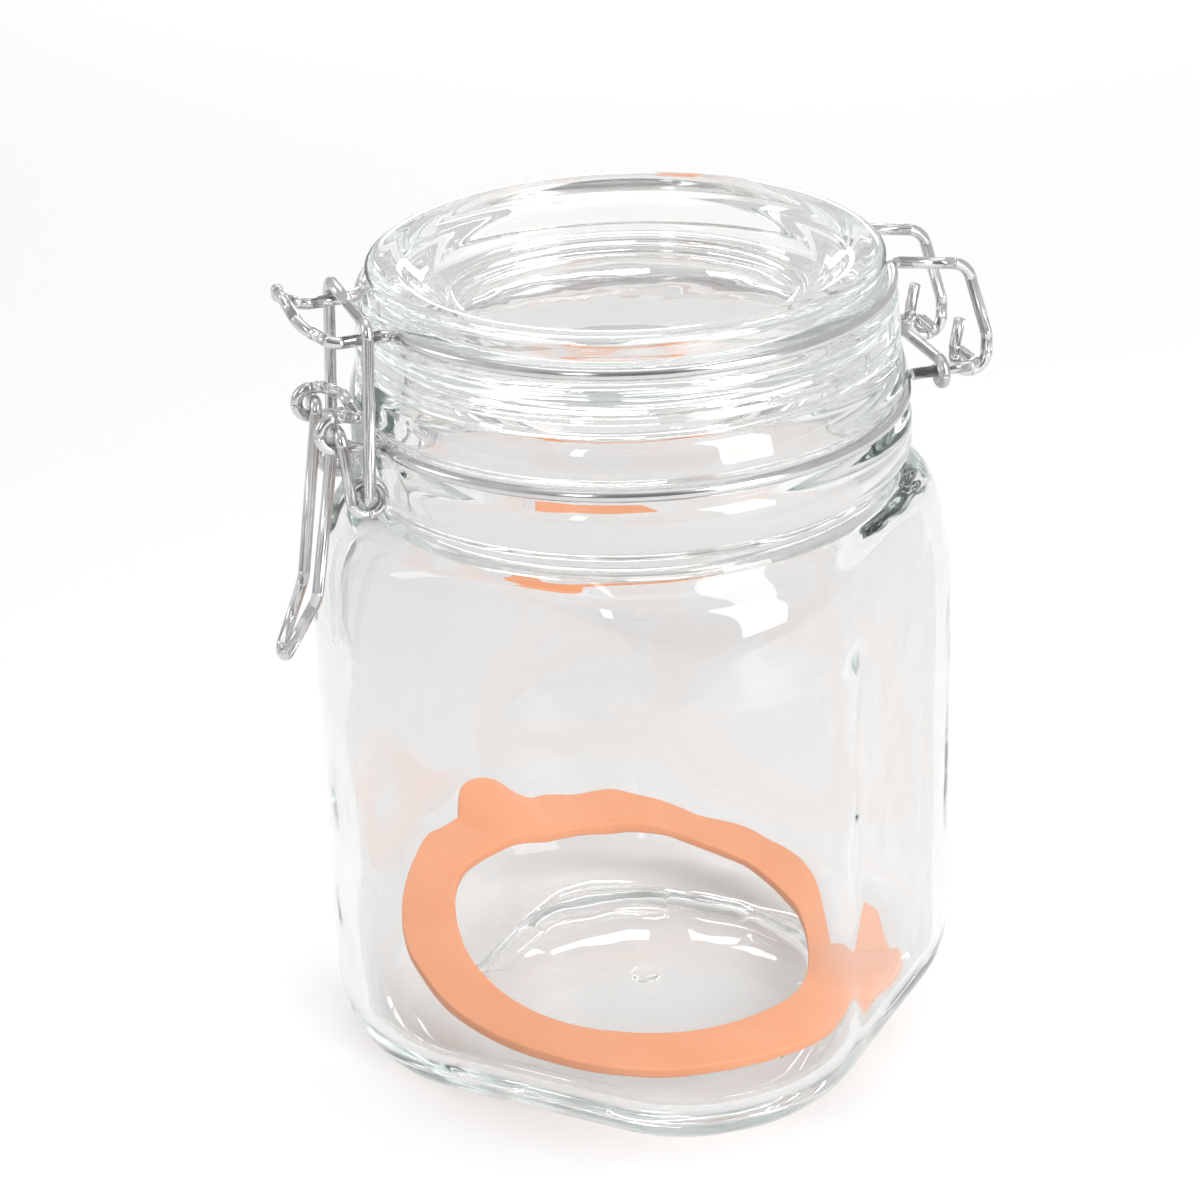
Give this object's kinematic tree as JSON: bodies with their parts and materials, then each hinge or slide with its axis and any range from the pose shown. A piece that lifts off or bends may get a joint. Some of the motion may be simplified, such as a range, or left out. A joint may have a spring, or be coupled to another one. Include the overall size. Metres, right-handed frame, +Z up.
{
  "type": "clip-top glass storage jar",
  "caption": "Square glass storage jar with a round neck, a hinged dished glass lid, a wire bail clasp and a loose orange rubber sealing ring lying inside.",
  "frame": {"origin": "on the jar's axis, at the plane the base stands on", "axes": "+Z up; the clasp is at -Y and the hinge at +Y; the lever and the hinge turn about X"},
  "size_m": [0.122, 0.1359, 0.1593],
  "materials": {
    "jar_glass": "clear pressed glass, slightly green where thick",
    "lid_glass": "clear pressed glass",
    "rubber": "matt orange rubber",
    "wire": "bright galvanised steel wire",
    "tie": "galvanised steel wire, duller"
  },
  "bodies": {
    "jar": {"jar": "jar_glass", "neck_wire": "wire", "tie_wire": "tie"},
    "lid": {"lid": "lid_glass", "lid_wire": "wire"},
    "lever": {"lever": "wire"},
    "bail": {"bail": "wire"},
    "gasket": {"gasket": "rubber"}
  },
  "joints": [
    {"name": "lid_hinge", "type": "hinge", "parent": "jar", "child": "lid", "pos_m": [0, 0.063, 0.1306], "axis": [-1, 0, 0], "range_deg": [0, 200]},
    {"name": "lever_turn", "type": "hinge", "parent": "jar", "child": "lever", "pos_m": [0, -0.0567, 0.1342], "axis": [-1, 0, 0], "range_deg": [0, 100]},
    {"name": "bail_turn", "type": "hinge", "parent": "lever", "child": "bail", "pos_m": [0, -0.0528, 0.1219], "axis": [-1, 0, 0], "range_deg": [-70, 0]},
    {"name": "gasket_lift", "type": "slide", "parent": "jar", "child": "gasket", "axis": [0, 0, 1], "range_m": [0, 0.03]}
  ],
  "couplings": [
    {"joint": "bail_turn", "follows": "lever_turn", "ratio": -0.7}
  ]
}
